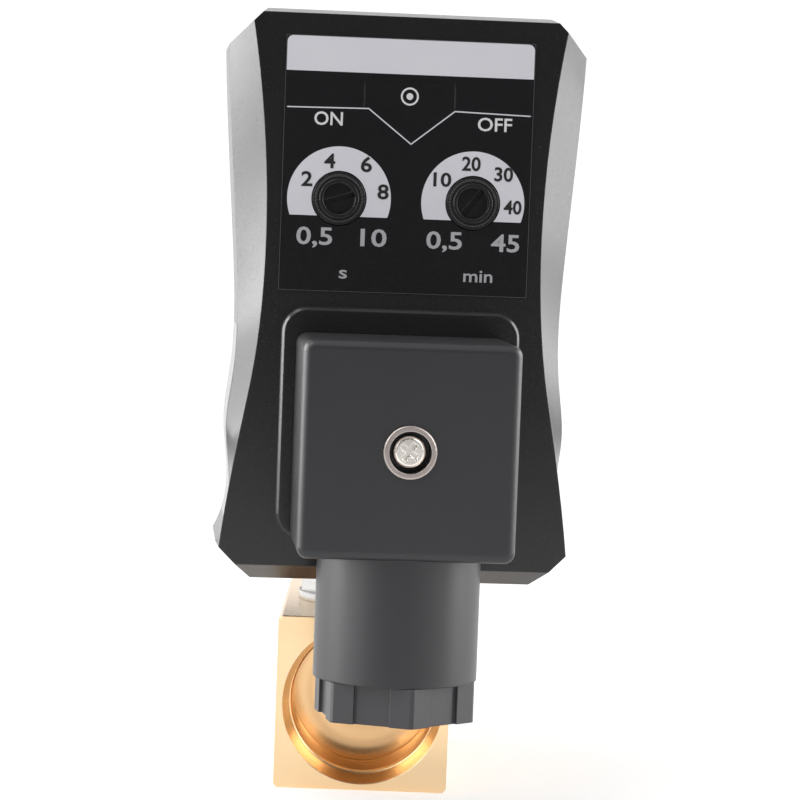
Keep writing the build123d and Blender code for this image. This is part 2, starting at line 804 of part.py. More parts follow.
def make_contact_clamps():
    """Brass clamps that grip the blades and take the wires."""
    back = plug_back_y + seat_gap
    front = pad_y - blade_reach - loose_gap
    clamps = []
    for place in blade_places:
        clamps.append(clamp_shape(place) - blade(front, back, place, seat_gap))
    return Compound(clamps)


def make_clamp_screws():
    """Wire screws on the clamps' outer faces, ahead of the carrier."""
    screws = []
    face = blade_pitch + blade_thick / 2 + socket_wall
    top = face + clamp_screw_head
    slot_width, slot_depth = clamp_screw_slot
    y = (plug_back_y - clamp_length + carrier_front_y) / 2
    for lean in (90, -90, 180):
        screw = rod_z(clamp_screw_head_r, face, top)
        slot = Pos(0, 0, top) * Box(2 * clamp_screw_head_r, slot_width, 2 * slot_depth)
        screws.append(Pos(0, y, plug_centre_z) * Rot(0, lean, 0) * (screw - slot))
    return Compound(screws)


def make_profile_gasket():
    """Flat gasket between plug and timer, pierced for blades and screw."""
    sheet = rounded_plate(gasket_half, plug_centre_z - gasket_half, plug_centre_z + gasket_half,
                          plug_back_y + seat_gap, pad_y, plug_round)
    for place in blade_places:
        sheet -= blade(plug_back_y, pad_y, place, loose_gap)
    return sheet - rod_y(screw_r + screw_clear, plug_back_y, pad_y, 0, plug_centre_z)


def make_screw_ring():
    """Nickel-plated flanged ring set in the plug's front round the screw head."""
    front = plug_front_y - ring_proud
    back = plug_front_y + ring_depth
    ring = rod_y(ring_r, front, plug_front_y, 0, plug_centre_z)
    ring = fillet(ring.edges().group_by(Axis.Y)[0], ring_proud / 2)
    ring += rod_y(ring_sleeve_r, plug_front_y, back, 0, plug_centre_z)
    return ring - rod_y(ring_bore_r, front, back, 0, plug_centre_z)


def make_centre_screw():
    """Long screw through plug and timer into the coil."""
    seat = plug_front_y + screw_seat_depth
    front = seat - screw_head_height
    screw = rod_y(screw_head_r, front, seat, 0, plug_centre_z)
    screw = fillet(screw.edges().group_by(Axis.Y)[0], screw_head_round)
    screw += rod_y(screw_r, seat, coil_front_y, 0, plug_centre_z)
    slot_length, slot_width = cross_size
    for turn in (cross_turn, cross_turn + 90):
        slot = Box(slot_length, 2 * cross_depth, slot_width)
        screw -= Pos(0, front, plug_centre_z) * Rot(0, turn, 0) * slot
    return screw


def make_gland_nut():
    """Hexagonal compression nut with a shallow panel sunk in each flat."""
    top = gland_bottom_z - seat_gap
    flats = nut_corner_r * sqrt(3)
    nut = Pos(0, 0, nut_bottom_z) * extrude(RegularPolygon(nut_corner_r, 6), top - nut_bottom_z)
    for i in range(6):
        panel = Box(nut_corner_r * nut_panel_share, 2 * nut_panel, top - nut_bottom_z)
        middle = (top + nut_bottom_z) / 2
        nut -= Rot(0, 0, 60 * i) * Pos(0, flats / 2, middle) * panel
    nut = Rot(0, 0, nut_turn) * nut
    nut &= rod_z(nut_corner_r - nut_corner_trim, nut_bottom_z, top)
    nut += rod_z(gland_bore_r - seat_gap, top, top + nut_spigot_length)
    nut -= rod_z(nut_bore_r, nut_bottom_z, top + nut_spigot_length)
    return Pos(0, gland_y, 0) * nut


def gland_stack():
    """Heights of the washer's and the grommet's undersides above the nut."""
    washer_low = gland_bottom_z - seat_gap + nut_spigot_length
    return washer_low, washer_low + gland_washer_thick


def make_gland_washer():
    """Washer between the nut's spigot and the grommet."""
    low, high = gland_stack()
    washer = rod_z(gland_bore_r - loose_gap, low, high, 0, gland_y)
    return washer - rod_z(nut_bore_r, low, high, 0, gland_y)


def make_gland_grommet():
    """Rubber grommet that the nut squeezes on the cable."""
    low = gland_stack()[1]
    grommet = rod_z(gland_bore_r - loose_gap, low, gland_shoulder_z, 0, gland_y)
    return grommet - rod_z(cable_r, low, gland_shoulder_z, 0, gland_y)


# ---------------------------------------------------------------- write the nodes
save(make_valve_body(), "valve_body", False)
save(make_armature_tube(), "armature_tube", False)
save(make_tube_o_ring(), "tube_o_ring", False)
save(make_fixed_core(), "fixed_core", False)
save(make_shading_ring(), "shading_ring", False)
save(make_plunger(), "plunger", False)
save(make_plunger_seal(), "plunger_seal", False)
save(make_plunger_spring(), "plunger_spring", False)
save(make_coil_seal(hex_top_z, yoke_bottom_z), "lower_coil_seal", False)
save(make_coil_seal(yoke_top_z, tube_top_z), "upper_coil_seal", False)
save(make_coil_washer(), "coil_washer", False)
save(make_coil_nut(), "coil_nut", False)

save(make_coil_body(), "coil_body")
save(make_coil_yoke(), "coil_yoke")
save(make_coil_bobbin(), "coil_bobbin")
save(make_coil_winding(), "coil_winding")
save(make_coil_terminals(), "coil_terminals")
save(make_coil_gasket(), "coil_gasket")

save(make_timer_housing(), "timer_housing")
save(make_rear_cover(), "timer_rear_cover")
save(make_cover_screws(), "cover_screws")
save(make_front_terminals(), "front_terminals")
save(make_timer_sockets(), "timer_sockets")
save(make_label_film(), "label_film")
save(make_test_key(), "test_key")
save(make_key_switch(), "key_switch")
save(make_circuit_board(), "circuit_board")
save(make_board_screws(), "board_screws")
save(make_trimmer(-dial_half_spacing), "on_time_trimmer")
save(make_trimmer(dial_half_spacing), "off_time_trimmer")
save(make_knob(-dial_half_spacing, on_slot_angle), "on_time_knob")
save(make_knob(dial_half_spacing, off_slot_angle), "off_time_knob")
save(make_timer_capacitor(), "timer_capacitor")
save(make_timer_relay(), "timer_relay")
save(make_timer_chip(), "timer_chip")

save(make_plug_housing(), "plug_housing")
save(make_contact_carrier(), "contact_carrier")
save(make_contact_clamps(), "contact_clamps")
save(make_clamp_screws(), "clamp_screws")
save(make_profile_gasket(), "profile_gasket")
save(make_screw_ring(), "screw_ring")
save(make_centre_screw(), "centre_screw")
save(make_gland_nut(), "gland_nut")
save(make_gland_washer(), "gland_washer")
save(make_gland_grommet(), "gland_grommet")
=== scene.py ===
import json
from math import atan2, radians

import bmesh
import bpy
import numpy as np
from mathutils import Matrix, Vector


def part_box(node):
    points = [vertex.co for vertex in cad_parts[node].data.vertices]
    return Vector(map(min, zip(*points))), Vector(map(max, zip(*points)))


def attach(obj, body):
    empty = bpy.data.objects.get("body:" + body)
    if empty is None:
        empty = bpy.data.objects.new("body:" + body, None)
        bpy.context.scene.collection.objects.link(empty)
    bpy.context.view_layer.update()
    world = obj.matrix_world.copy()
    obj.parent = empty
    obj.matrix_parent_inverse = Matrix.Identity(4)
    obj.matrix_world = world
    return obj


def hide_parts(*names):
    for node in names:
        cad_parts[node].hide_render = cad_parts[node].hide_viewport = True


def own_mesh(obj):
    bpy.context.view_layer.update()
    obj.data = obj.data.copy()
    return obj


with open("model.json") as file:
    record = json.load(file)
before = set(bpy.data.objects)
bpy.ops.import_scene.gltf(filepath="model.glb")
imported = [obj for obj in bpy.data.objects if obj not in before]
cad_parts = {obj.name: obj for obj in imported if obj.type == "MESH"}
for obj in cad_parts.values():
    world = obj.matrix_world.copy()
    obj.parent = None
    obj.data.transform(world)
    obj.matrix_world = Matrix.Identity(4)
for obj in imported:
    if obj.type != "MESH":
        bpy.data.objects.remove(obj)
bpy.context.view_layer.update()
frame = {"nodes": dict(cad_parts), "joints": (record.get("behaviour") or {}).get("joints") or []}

# ---------------------------------------------------------------- studio
# A still camera with a long lens, a little above the ports and leaning to one side, over
# a white paper sweep that ends below the lens. Even light does most of the work, a soft
# box hangs above on the left, and glossy faces mirror the white paper and the dark room
# round the lens. Two flashes behind the lens light the bare metals only, and three bright
# cards on each side the black plastics only, whose faint mirroring needs them.
MM = 0.001
scene = bpy.context.scene
scene.view_settings.view_transform = "Standard"

camera_data = bpy.data.cameras.new("studio_camera")
camera_data.sensor_width = 36.0
camera_data.lens = 137.07
camera_data.clip_start = 0.02
camera = bpy.data.objects.new("studio_camera", camera_data)
camera.location = (0.003676, -0.448907, 0.0832)
camera.rotation_euler = [radians(angle) for angle in (86.293, -2.1213, 0.131)]
scene.collection.objects.link(camera)
scene.camera = camera


def linear(shade):
    """sRGB hex such as "#c8c7cc" as linear red, green, blue and alpha.

    Each channel c becomes c / 12.92 near black and ((c + 0.055) / 1.055) ** 2.4 above.
    """
    channels = np.array([int(shade[i:i + 2], 16) for i in (1, 3, 5)]) / 255
    curve = np.where(channels <= 0.04045, channels / 12.92, ((channels + 0.055) / 1.055) ** 2.4)
    return (*curve.tolist(), 1.0)


def add(material, kind, inputs=None, **settings):
    """Adds a node with its settings; inputs holds values or sockets by input name or number."""
    node = material.node_tree.nodes.new(kind)
    for key, value in settings.items():
        setattr(node, key, value)
    for key, value in (inputs or {}).items():
        if isinstance(value, bpy.types.NodeSocket):
            material.node_tree.links.new(value, node.inputs[key])
        else:
            node.inputs[key].default_value = value
    return node


def blank(name):
    """Empty node material and its output node."""
    material = bpy.data.materials.new(name)
    material.use_nodes = True
    material.node_tree.nodes.clear()
    return material, add(material, "ShaderNodeOutputMaterial")


def seen_or_mirrored(material):
    """1 for rays from the lens, off a mirror or through glass, and 0 for all other light."""
    path = add(material, "ShaderNodeLightPath")
    mirrored = add(material, "ShaderNodeMath", {0: path.outputs["Is Camera Ray"],
                   1: path.outputs["Is Glossy Ray"]}, operation="MAXIMUM")
    return add(material, "ShaderNodeMath", {0: mirrored.outputs[0],
               1: path.outputs["Is Transmission Ray"]}, operation="MAXIMUM").outputs[0]


# Glossy faces see the dome at full strength at the sides, nearly dark round the lens and a
# little dimmer overhead. The bounds are of the direction's Y, and of its Z.
dome_diffuse, dome_seen_level = 0.62, 1.0
lens_dark, dark_until, bright_from = 0.1, -0.95, -0.72
zenith_level, side_until, zenith_from = 0.8, 0.6, 0.95
world = bpy.data.worlds.new("studio_dome")
world.use_nodes = True
world.node_tree.nodes.clear()
toward = add(world, "ShaderNodeSeparateXYZ",
             {0: add(world, "ShaderNodeTexCoord").outputs["Generated"]}).outputs
room_front = add(world, "ShaderNodeMapRange", {0: toward["Y"], 1: dark_until,
                 2: bright_from, 3: lens_dark, 4: 1.0}, interpolation_type="SMOOTHSTEP")
room_top = add(world, "ShaderNodeMapRange", {0: toward["Z"], 1: side_until,
               2: zenith_from, 3: 1.0, 4: zenith_level}, interpolation_type="SMOOTHSTEP")
room = add(world, "ShaderNodeMath", {0: room_front.outputs[0], 1: room_top.outputs[0]},
           operation="MULTIPLY")
ray = add(world, "ShaderNodeLightPath").outputs
dome_level = add(world, "ShaderNodeMapRange", {0: seen_or_mirrored(world), 3: dome_diffuse,
                 4: dome_seen_level})
dome_seen = add(world, "ShaderNodeMix", {0: ray["Is Glossy Ray"], 2: dome_level.outputs[0],
                3: room.outputs[0]})
dome = add(world, "ShaderNodeBackground", {"Color": linear("#ffffff"),
                                           "Strength": dome_seen.outputs[0]})
add(world, "ShaderNodeOutputWorld", {"Surface": dome.outputs[0]})
scene.world = world


def grid_mesh(name, points, closed=False):
    """Mesh of a grid of points, rows by columns; closed joins the last column to the first."""
    rows, columns = points.shape[:2]
    index = np.arange(rows * columns).reshape(rows, columns)
    if closed:
        index = np.concatenate([index, index[:, :1]], axis=1)
    faces = np.stack([index[:-1, :-1], index[1:, :-1], index[1:, 1:], index[:-1, 1:]], axis=-1)
    mesh = bpy.data.meshes.new(name)
    mesh.from_pydata(points.reshape(-1, 3).tolist(), [], faces.reshape(-1, 4).tolist())
    return mesh


def place(name, mesh, material, body=None, smooth=False):
    """Links a mesh as a piece that rides on a body, or as part of the studio without one."""
    piece = bpy.data.objects.new(name, mesh)
    mesh.materials.append(material)
    mesh.polygons.foreach_set("use_smooth", np.full(len(mesh.polygons), smooth))
    scene.collection.objects.link(piece)
    if body:
        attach(piece, body)
    return piece


# Paper sweep: flat for a metre behind the object, then a quarter circle up to a wall. A
# glow that only the lens and glossy faces see keeps the paper white and its shadows soft.
paper_glow_level = 0.5
paper_fibre_scale = 900.0
front_end, flat_end, bend_radius, wall_top, half_width = -0.6, 1.0, 0.6, 3.0, 3.0
paper, paper_out = blank("white seamless paper, matt")
paper_grain = add(paper, "ShaderNodeTexNoise", {"Scale": paper_fibre_scale,
                  "Detail": 2.0})
paper_tone = add(paper, "ShaderNodeMix", {0: paper_grain.outputs[0], 6: linear("#f4f4f4"),
                 7: linear("#fbfbfb")}, data_type="RGBA")
paper_matt = add(paper, "ShaderNodeBsdfDiffuse", {"Color": paper_tone.outputs[2]})
paper_lift = add(paper, "ShaderNodeMath", {0: seen_or_mirrored(paper), 1: paper_glow_level},
                 operation="MULTIPLY")
paper_glow = add(paper, "ShaderNodeEmission", {"Color": linear("#ffffff"),
                                               "Strength": paper_lift.outputs[0]})
paper_sum = add(paper, "ShaderNodeAddShader", {0: paper_matt.outputs[0],
                                               1: paper_glow.outputs[0]})
paper.node_tree.links.new(paper_sum.outputs[0], paper_out.inputs["Surface"])

bend = np.linspace(0, np.pi / 2, 13)
sweep_y = np.concatenate([[front_end, 0.0], flat_end + bend_radius * np.sin(bend),
                          [flat_end + bend_radius]])
sweep_z = np.concatenate([[0.0, 0.0], bend_radius * (1 - np.cos(bend)), [wall_top]])
sweep_x = np.array([-half_width, half_width])
sweep = np.stack([np.broadcast_to(sweep_x[:, None], (2, len(sweep_y))),
                  np.broadcast_to(sweep_y, (2, len(sweep_y))),
                  np.broadcast_to(sweep_z, (2, len(sweep_z)))], axis=-1)
place("paper_sweep", grid_mesh("paper_sweep", sweep), paper, smooth=True)


def lamp(name, watts, size, location, aim, mirrored_only=False, receivers=None):
    """Rectangular soft box that faces a point; it may light one collection only."""
    data = bpy.data.lights.new(name, "AREA")
    data.shape = "RECTANGLE"
    data.size, data.size_y = size
    data.energy = watts
    holder = bpy.data.objects.new(name, data)
    holder.location = location
    direction = Vector(aim) - Vector(location)
    holder.rotation_euler = direction.to_track_quat("-Z", "Y").to_euler()
    holder.visible_diffuse = not mirrored_only
    holder.light_linking.receiver_collection = receivers
    scene.collection.objects.link(holder)


middle = (0.0, -0.02, 0.055)
lamp("soft_box", 2.2, (0.5, 0.5), (-0.35, -0.35, 0.75), middle)
bare_metals = bpy.data.collections.new("bare_metals")
for node in ("valve_body", "armature_tube", "screw_ring", "centre_screw"):
    bare_metals.objects.link(frame["nodes"][node])
for side, flash_side in (("left", -1), ("right", 1)):
    lamp(f"{side}_flash", 2.0, (0.45, 0.35), (flash_side * 0.5, -0.75, 0.33), middle,
         mirrored_only=True, receivers=bare_metals)

# Cards that only the black plastics mirror, from beside the lens to behind the object, with
# the radiance of each.
black_plastics = bpy.data.collections.new("black_plastics")
for node in ("timer_housing", "timer_rear_cover", "label_film", "on_time_knob", "off_time_knob",
             "test_key", "plug_housing", "gland_nut", "coil_body"):
    black_plastics.objects.link(frame["nodes"][node])
card_x, card_z, card_height = 0.6, 0.24, 0.6
card_ends = (-0.6, -0.17, 0.1, 0.5)
left_radiance, right_radiance = (4.0, 11.5, 4.0), (1.0, 8.0, 3.8)
for side, card_side, radiance in (("left", -1, left_radiance), ("right", 1, right_radiance)):
    for number, level in enumerate(radiance):
        length = card_ends[number + 1] - card_ends[number]
        card_y = (card_ends[number + 1] + card_ends[number]) / 2
        lamp(f"{side}_card_{number + 1}", level * np.pi * length * card_height,
             (length, card_height), (card_side * card_x, card_y, card_z),
             (0.0, card_y, card_z), mirrored_only=True, receivers=black_plastics)


# ---------------------------------------------------------------- valve body
# Hot-stamped brass block, milled on all sides and bored from both ends, with a G 1/2
# pipe thread in each port. The mill leaves fine straight lines, the boring tool rings.
def position(material):
    """Object coordinates, in metres."""
    return add(material, "ShaderNodeTexCoord").outputs["Object"]


def rounded(material, radius_mm, height=None, relief_mm=0.0):
    """Normal of edges rounded off by the given radius, with a relief on top."""
    soft = add(material, "ShaderNodeBevel", {"Radius": radius_mm * MM}, samples=6).outputs[0]
    if height is None:
        return soft
    return add(material, "ShaderNodeBump", {"Height": height, "Distance": relief_mm * MM,
               "Strength": 1.0, "Normal": soft}).outputs[0]


WAVE = 20        # a wave texture repeats every scale / 20


def per_mm(size_mm):
    """Scale of a texture whose features are about size_mm wide."""
    return 1.0 / (size_mm * MM)


def dress(node, material):
    """Gives a CAD node its finished material."""
    for slot in frame["nodes"][node].material_slots:
        slot.material = material


body_low, body_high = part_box("valve_body")
port_z = (body_low[2] + body_high[2]) / 2
port_radius = 11.0 * MM        # a little more than the thread's root
floor_reach = 9.1 * MM         # from the body's middle to just past each port's floor
mill_pitch = 0.12              # mm
mill_stretch = 0.03            # of the pattern's scale, along the lines
tool_ring_pitch = 0.35         # mm

brass, brass_out = blank("free-cutting brass, milled and bored")
brass_at = position(brass)
# mill lines run along X
mill_map = add(brass, "ShaderNodeMapping", {0: brass_at, "Scale": (mill_stretch, 1.0, 1.0)})
mill = add(brass, "ShaderNodeTexNoise", {"Vector": mill_map.outputs[0],
           "Scale": per_mm(mill_pitch), "Detail": 3.0, "Roughness": 0.6})
# tool rings on the ports' floors, centred on the port axis
ring_map = add(brass, "ShaderNodeMapping", {0: brass_at, "Location": (0.0, 0.0, -port_z)})
rings = add(brass, "ShaderNodeTexWave", {"Vector": ring_map.outputs[0],
            "Scale": per_mm(tool_ring_pitch) / WAVE, "Distortion": 0.6, "Detail": 1.0},
            wave_type="RINGS", rings_direction="Y")
brass_y = add(brass, "ShaderNodeSeparateXYZ", {0: brass_at}).outputs["Y"]
from_middle = add(brass, "ShaderNodeMath", {0: brass_y}, operation="ABSOLUTE")
deep = add(brass, "ShaderNodeMath", {0: from_middle.outputs[0], 1: floor_reach},
           operation="LESS_THAN")
flat_map = add(brass, "ShaderNodeMapping", {0: ring_map.outputs[0], "Scale": (1.0, 0.0, 1.0)})
off_axis = add(brass, "ShaderNodeVectorMath", {0: flat_map.outputs[0]}, operation="LENGTH")
near_axis = add(brass, "ShaderNodeMath", {0: off_axis.outputs["Value"], 1: port_radius},
                operation="LESS_THAN")
on_floor = add(brass, "ShaderNodeMath", {0: deep.outputs[0], 1: near_axis.outputs[0]},
               operation="MULTIPLY")
tooling = add(brass, "ShaderNodeMix", {0: on_floor.outputs[0], 2: mill.outputs[0],
              3: rings.outputs[1]})
tarnish = add(brass, "ShaderNodeTexNoise", {"Vector": brass_at, "Scale": per_mm(9.0),
              "Detail": 3.0})
skin_tone = add(brass, "ShaderNodeMix", {0: tarnish.outputs[0], 6: linear("#f3cf9f"),
                7: linear("#f9dbb2")}, data_type="RGBA")
# painted shade: the ports' floors and deep walls take a darker brass than the outer faces
brass_tone = add(brass, "ShaderNodeMix", {0: on_floor.outputs[0], 6: skin_tone.outputs[2],
                 7: linear("#e6bd8c")}, data_type="RGBA")
brass_rough = add(brass, "ShaderNodeMapRange", {0: tooling.outputs[0], 3: 0.15, 4: 0.25})
brass_skin = add(brass, "ShaderNodeBsdfPrincipled", {
    "Base Color": brass_tone.outputs[2], "Metallic": 1.0,
    "Roughness": brass_rough.outputs[0], "Anisotropic": 0.3,
    "Normal": rounded(brass, 0.25, tooling.outputs[0], 0.004)})
brass.node_tree.links.new(brass_skin.outputs[0], brass_out.inputs["Surface"])
dress("valve_body", brass)
dress("contact_clamps", brass)


def outward(mesh):
    """Joins the doubled points of a closed mesh and turns all its faces outwards."""
    edit = bmesh.new()
    edit.from_mesh(mesh)
    bmesh.ops.remove_doubles(edit, verts=edit.verts, dist=1e-7)
    bmesh.ops.recalc_face_normals(edit, faces=edit.faces)
    edit.to_mesh(mesh)
    edit.free()
    return mesh


# Thread crests: a ring whose inside radius swings once per pitch from root to crest, and
# turns with the angle, so it is a helix; it runs out near the floor and at the flare.
port_pitch = 1.814 * MM
port_crest = 10.1 * MM
port_root = 10.46 * MM
thread_start, thread_end = 3.6 * MM, 12.6 * MM
run_out = 0.8 * MM
backing = 0.02 * MM      # how far the ring's outside lies behind the thread's root
flat_share = 0.12        # of half a pitch, at the root and at the crest
facets = 96
ports = (("inlet_thread", 1, body_low[1]), ("outlet_thread", -1, body_high[1]))
for name, inward, mouth in ports:
    angle = np.linspace(0, 2 * np.pi, facets + 1)[:-1]
    along = np.linspace(thread_start, thread_end, 101)
    turn = along[:, None] / port_pitch - angle[None, :] / (2 * np.pi)
    swing = np.abs(2 * (turn - np.floor(turn)) - 1)
    swing = np.clip((swing - flat_share) / (1 - 2 * flat_share), 0, 1)
    fade_in = np.clip((along - thread_start) / run_out, 0, 1)
    fade_out = np.clip((thread_end - along) / run_out, 0, 1)
    radius = port_root - (port_root - port_crest) * swing * (fade_in * fade_out)[:, None]
    radius = np.concatenate([radius, np.full((2, facets), port_root + backing)])
    reach = np.concatenate([along, along[[-1, 0]]])
    points = np.stack([inward * radius * np.sin(angle),
                       np.broadcast_to((mouth + inward * reach)[:, None], radius.shape),
                       port_z + radius * np.cos(angle)], axis=-1)
    points = np.concatenate([points, points[:1]])
    thread = place(name, outward(grid_mesh(name, points, closed=True)), brass, "valve",
                   smooth=True)
    bare_metals.objects.link(thread)


# ---------------------------------------------------------------- armature tube
# Stainless tube with a collar and hexagon, turned from bar; the plunger and the core in
# it are ferritic stainless, the return spring is drawn wire, and a copper ring is let
# into the core's face. Turning leaves rings round the axis.
def turned_metal(name, dark, pale, roughness, groove_mm, spread=0.12):
    """Bare metal with tool rings round Z, groove_mm apart, and a slow change of tone."""
    material, out = blank(name)
    where = position(material)
    groove = add(material, "ShaderNodeTexWave", {"Vector": where, "Distortion": 0.4,
                 "Scale": per_mm(groove_mm) / WAVE}, wave_type="BANDS", bands_direction="Z")
    cloud = add(material, "ShaderNodeTexNoise", {"Vector": where, "Scale": per_mm(5.0)})
    tone = add(material, "ShaderNodeMix", {0: cloud.outputs[0], 6: linear(dark),
               7: linear(pale)}, data_type="RGBA")
    rough = add(material, "ShaderNodeMapRange", {0: groove.outputs[1],
                3: roughness, 4: roughness + spread})
    skin = add(material, "ShaderNodeBsdfPrincipled", {
        "Base Color": tone.outputs[2], "Metallic": 1.0, "Roughness": rough.outputs[0],
        "Normal": rounded(material, 0.15, groove.outputs[1], 0.003)})
    material.node_tree.links.new(skin.outputs[0], out.inputs["Surface"])
    return material


stainless = turned_metal("stainless steel, turned", "#c9c8c6", "#e2e1de", 0.18, 0.2)
ferritic = turned_metal("ferritic stainless, ground", "#a9a8a6", "#c4c3c1", 0.22, 0.3)
zinc_plate = turned_metal("steel, blue zinc plate", "#aeb4bd", "#cdd1d6", 0.28, 0.5)
dress("armature_tube", stainless)
dress("plunger_spring", stainless)
for node in ("fixed_core", "plunger"):
    dress(node, ferritic)
for node in ("coil_washer", "coil_nut", "coil_yoke", "cover_screws", "board_screws",
             "clamp_screws"):
    dress(node, zinc_plate)

# A copy of the CAD return spring rides on the valve body in its place; in the valve it shortens
# under the core as the plunger lifts by 2 mm, but this copy keeps its shape.
spring_mesh = frame["nodes"]["plunger_spring"].data.copy()
spring_mesh.materials.clear()
return_spring = place("return_spring", spring_mesh, stainless, "valve", smooth=True)
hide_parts("plunger_spring")
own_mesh(return_spring)


# ---------------------------------------------------------------- rubber and copper
# Nitrile rubber seals, moulded, dull black with a faint bloom; copper ring and winding of
# enamelled wire laid in even turns, drawn 0.5 mm apart so that they show.
def moulded(name, shade, pale, roughness, grain_mm, relief_mm, edge_mm=0.2, spread=0.06):
    """Moulded plastic or rubber: fine spark-eroded grain with slow blotches of tone."""
    material, out = blank(name)
    where = position(material)
    grain = add(material, "ShaderNodeTexNoise", {"Vector": where, "Detail": 2.0,
                "Scale": per_mm(grain_mm)})
    blotch = add(material, "ShaderNodeTexNoise", {"Vector": where, "Scale": per_mm(14.0),
                 "Detail": 2.0})
    tone = add(material, "ShaderNodeMix", {0: blotch.outputs[0], 6: linear(shade),
               7: linear(pale)}, data_type="RGBA")
    rough = add(material, "ShaderNodeMapRange", {0: grain.outputs[0], 1: 0.3, 2: 0.7,
                3: roughness - spread, 4: roughness + spread})
    skin = add(material, "ShaderNodeBsdfPrincipled", {
        "Base Color": tone.outputs[2], "Roughness": rough.outputs[0],
        "Normal": rounded(material, edge_mm, grain.outputs[0], relief_mm)})
    material.node_tree.links.new(skin.outputs[0], out.inputs["Surface"])
    return material


nitrile = moulded("nitrile rubber, moulded", "#19191a", "#242425", 0.62, 0.15, 0.02)
for node in ("tube_o_ring", "plunger_seal", "lower_coil_seal", "upper_coil_seal",
             "coil_gasket", "profile_gasket", "gland_grommet"):
    dress(node, nitrile)

copper, copper_out = blank("enamelled copper wire, wound")
wire_pitch = 0.5        # mm
turns = add(copper, "ShaderNodeTexWave", {"Vector": position(copper),
            "Scale": per_mm(wire_pitch) / WAVE}, wave_type="BANDS", bands_direction="Z")
# painted shade in the grooves between turns and a painted highlight on each turn's crest
copper_painted_shading = add(copper, "ShaderNodeMix", {0: turns.outputs[1], 6: linear("#8a4a28"),
                  7: linear("#d08552")}, data_type="RGBA")
copper_skin = add(copper, "ShaderNodeBsdfPrincipled", {
    "Base Color": copper_painted_shading.outputs[2], "Metallic": 0.9, "Roughness": 0.3,
    "Normal": rounded(copper, 0.1, turns.outputs[1], 0.1)})
copper.node_tree.links.new(copper_skin.outputs[0], copper_out.inputs["Surface"])
dress("coil_winding", copper)
dress("shading_ring", copper)


# ---------------------------------------------------------------- coil
# The coil is cast round its steel strap in black thermoset with a dull, slightly grainy
# face; the spool inside is natural nylon and the blades are tin-plated brass.
thermoset = moulded("black thermoset, cast", "#1d1c1d", "#272627", 0.5, 0.25, 0.03)
nylon = moulded("natural nylon, moulded", "#cdc7b4", "#dcd7c6", 0.42, 0.2, 0.01)
tin = turned_metal("tin plate on brass", "#c7c6c2", "#dddcd8", 0.24, 0.4)
dress("coil_body", thermoset)
dress("coil_bobbin", nylon)
for node in ("coil_terminals", "front_terminals", "timer_sockets"):
    dress(node, tin)


# ---------------------------------------------------------------- timer housing
# Black ABS shell from a satin mould, closed at the back by a cover of the same plastic. A
# bare white vinyl label is stuck on its left side and follows its waist.
satin_abs = moulded("black ABS, satin mould", "#1d1b1c", "#232122", 0.22, 0.16, 0.004,
                    edge_mm=0.18)
dress("timer_housing", satin_abs)
dress("timer_rear_cover", satin_abs)

panel_axis = next(joint["axis"] for joint in frame["joints"] if joint["name"] == "on_time_turn")
head_angle = atan2(panel_axis[0], -panel_axis[1])


def turn_by(points, angle):
    """Points turned about the armature tube's axis by an angle."""
    cosine, sine = np.cos(angle), np.sin(angle)
    turned = np.array(points, dtype=float)
    turned[..., 0] = points[..., 0] * cosine - points[..., 1] * sine
    turned[..., 1] = points[..., 0] * sine + points[..., 1] * cosine
    return turned


def head_points(node):
    """A CAD node's points with the head turned back square to the axes, in metres."""
    mesh = frame["nodes"][node].data
    points = np.empty(3 * len(mesh.vertices))
    mesh.vertices.foreach_get("co", points)
    return turn_by(points.reshape(-1, 3), -head_angle)


def slab_mesh(name, face, offset):
    """Thin closed plate: a grid of points, the same grid moved by offset, and four rims."""
    rows, columns = face.shape[:2]
    index = np.arange(rows * columns).reshape(rows, columns)
    below = index + rows * columns
    front = np.stack([index[:-1, :-1], index[1:, :-1], index[1:, 1:], index[:-1, 1:]], axis=-1)
    back = np.stack([below[:-1, :-1], below[:-1, 1:], below[1:, 1:], below[1:, :-1]], axis=-1)
    loop = np.concatenate([index[0, :-1], index[:-1, -1], index[-1, :0:-1], index[:0:-1, 0]])
    after = np.roll(loop, -1)
    rim = np.stack([loop, after, after + rows * columns, loop + rows * columns], axis=-1)
    faces = np.concatenate([front.reshape(-1, 4), back.reshape(-1, 4), rim])
    points = np.concatenate([face.reshape(-1, 3), face.reshape(-1, 3) + offset])
    mesh = bpy.data.meshes.new(name)
    mesh.from_pydata(turn_by(points, head_angle).tolist(), [], faces.tolist())
    return mesh


vinyl, vinyl_out = blank("white vinyl label, semi-gloss")
vinyl_grain = add(vinyl, "ShaderNodeTexNoise", {"Vector": position(vinyl),
                  "Scale": per_mm(0.4)})
vinyl_tone = add(vinyl, "ShaderNodeMix", {0: vinyl_grain.outputs[0], 6: linear("#dcdcdc"),
                 7: linear("#e4e4e3")}, data_type="RGBA")
vinyl_skin = add(vinyl, "ShaderNodeBsdfPrincipled", {
    "Base Color": vinyl_tone.outputs[2], "Roughness": 0.35,
    "Normal": rounded(vinyl, 0.05, vinyl_grain.outputs[0], 0.004)})
vinyl.node_tree.links.new(vinyl_skin.outputs[0], vinyl_out.inputs["Surface"])

# The flank is read from the housing's outermost points on the left, behind its bevel.
shell = head_points("timer_housing")
flank = shell[(shell[:, 0] < -21.0 * MM) & (shell[:, 1] > -38.4 * MM)]
flank = flank[np.argsort(flank[:, 2])]
label_gap, label_thick = 0.08 * MM, 0.1 * MM
label_z = np.linspace(38.0, 66.0, 33)[:, None] * MM
label_y = np.linspace(-37.8, -23.5, 9)[None, :] * MM
label_x = np.interp(label_z, flank[:, 2], flank[:, 0]) - label_gap
label_face = np.stack(np.broadcast_arrays(label_x, label_y, label_z), axis=-1)
side_label = place("side_label", outward(slab_mesh("side_label", label_face,
                   (label_thick, 0, 0))), vinyl, "head")


